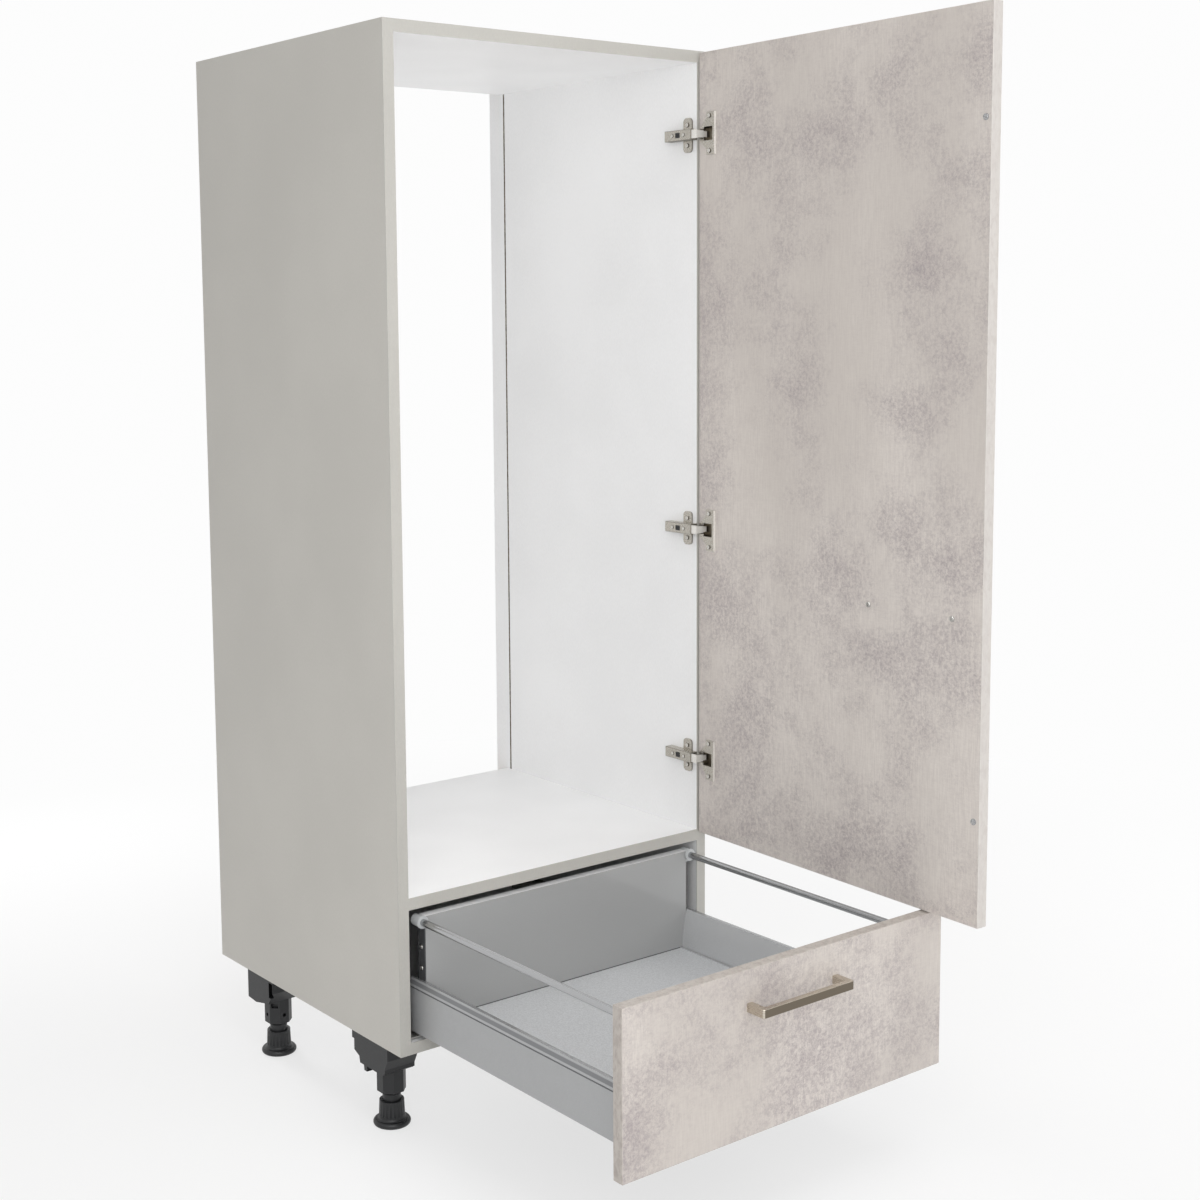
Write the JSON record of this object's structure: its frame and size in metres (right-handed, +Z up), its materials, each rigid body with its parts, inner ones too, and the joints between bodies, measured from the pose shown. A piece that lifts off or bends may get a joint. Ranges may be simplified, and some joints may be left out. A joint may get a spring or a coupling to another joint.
{
  "type": "fridge housing unit",
  "caption": "Tall kitchen unit on adjustable feet: an open fridge niche behind a hinged door, with a full-extension drawer under it.",
  "frame": {"origin": "on the floor, at the middle of the box around the unit as pictured, with its door and drawer open", "axes": "+X to the right as seen from the front, +Y to the back, +Z up"},
  "size_m": [0.6202, 1.1592, 1.625],
  "materials": {
    "carcass_board": "matt coated chipboard, grey outside and white inside",
    "front_board": "matt coated chipboard with a pale concrete decor",
    "hardboard": "white lacquered hardboard",
    "edge_band": "matt grey edge band",
    "beech": "bare ribbed beech",
    "drawer_board": "silver grey coated chipboard",
    "coated_steel": "silver grey powder coat",
    "rail_aluminium": "silver grey satin",
    "light_plastic": "light grey moulding",
    "dark_plastic": "dark grey moulding",
    "black_plastic": "black moulding",
    "clear_plastic": "clear soft bumper",
    "satin_nickel": "brushed satin nickel",
    "hinge_nickel": "nickel plated pressed steel",
    "screw_steel": "zinc plated"
  },
  "bodies": {
    "carcass": {"side_panel_left": "carcass_board", "side_panel_right": "carcass_board", "base_panel": "carcass_board", "fridge_shelf": "carcass_board", "top_panel": "carcass_board", "drawer_bay_back": "hardboard", "carcass_edge_bands": "edge_band", "wood_dowels": "beech", "cam_fittings": "screw_steel", "hinge_plate_top": "hinge_nickel", "hinge_arm_top": "hinge_nickel", "hinge_link_top": "hinge_nickel", "hinge_plate_middle": "hinge_nickel", "hinge_arm_middle": "hinge_nickel", "hinge_link_middle": "hinge_nickel", "hinge_plate_bottom": "hinge_nickel", "hinge_arm_bottom": "hinge_nickel", "hinge_link_bottom": "hinge_nickel", "hinge_plate_screws": "screw_steel", "hinge_adjusting_screws": "screw_steel", "runner_rail_left": "coated_steel", "runner_rail_right": "coated_steel", "runner_rail_screws": "screw_steel", "leg_socket_front_left": "black_plastic", "leg_tube_front_left": "black_plastic", "leg_socket_front_right": "black_plastic", "leg_tube_front_right": "black_plastic", "leg_socket_rear_left": "black_plastic", "leg_tube_rear_left": "black_plastic", "leg_socket_rear_right": "black_plastic", "leg_tube_rear_right": "black_plastic", "leg_socket_screws": "screw_steel"},
    "foot_front_left": {"leg_foot_front_left": "black_plastic"},
    "foot_front_right": {"leg_foot_front_right": "black_plastic"},
    "foot_rear_left": {"leg_foot_rear_left": "black_plastic"},
    "foot_rear_right": {"leg_foot_rear_right": "black_plastic"},
    "runner_mids": {"runner_mid_left": "coated_steel", "runner_mid_right": "coated_steel"},
    "door": {"door_panel": "front_board", "hinge_cup_top": "hinge_nickel", "hinge_cup_middle": "hinge_nickel", "hinge_cup_bottom": "hinge_nickel", "hinge_cup_screws": "screw_steel", "hinge_pins": "hinge_nickel", "door_handle": "satin_nickel", "door_handle_screws": "screw_steel", "door_bumpers": "clear_plastic"},
    "drawer": {"drawer_front": "front_board", "drawer_handle": "satin_nickel", "drawer_handle_screws": "screw_steel", "drawer_side_left": "coated_steel", "drawer_side_right": "coated_steel", "drawer_back": "drawer_board", "drawer_bottom": "drawer_board", "gallery_rail_left": "rail_aluminium", "gallery_rail_right": "rail_aluminium", "rail_holders": "light_plastic", "front_brackets": "dark_plastic", "back_brackets": "dark_plastic", "back_bracket_screws": "screw_steel"}
  },
  "joints": [
    {"name": "door_hinge", "type": "hinge", "parent": "carcass", "child": "door", "pos_m": [0.28067, 0.00914, 0.995], "axis": [0, 0, 1], "range_deg": [-88, 17]},
    {"name": "drawer_slide", "type": "slide", "parent": "carcass", "child": "drawer", "axis": [0, 1, 0], "range_m": [0, 0.484]},
    {"name": "runner_mid_slide", "type": "slide", "parent": "carcass", "child": "runner_mids", "axis": [0, 1, 0], "range_m": [0, 0.242]},
    {"name": "foot_front_left_screw", "type": "slide", "parent": "carcass", "child": "foot_front_left", "axis": [0, 0, 1], "range_m": [-0.02, 0.008]},
    {"name": "foot_front_right_screw", "type": "slide", "parent": "carcass", "child": "foot_front_right", "axis": [0, 0, 1], "range_m": [-0.02, 0.008]},
    {"name": "foot_rear_left_screw", "type": "slide", "parent": "carcass", "child": "foot_rear_left", "axis": [0, 0, 1], "range_m": [-0.02, 0.008]},
    {"name": "foot_rear_right_screw", "type": "slide", "parent": "carcass", "child": "foot_rear_right", "axis": [0, 0, 1], "range_m": [-0.02, 0.008]}
  ],
  "couplings": [
    {"joint": "runner_mid_slide", "follows": "drawer_slide", "ratio": 0.5}
  ]
}
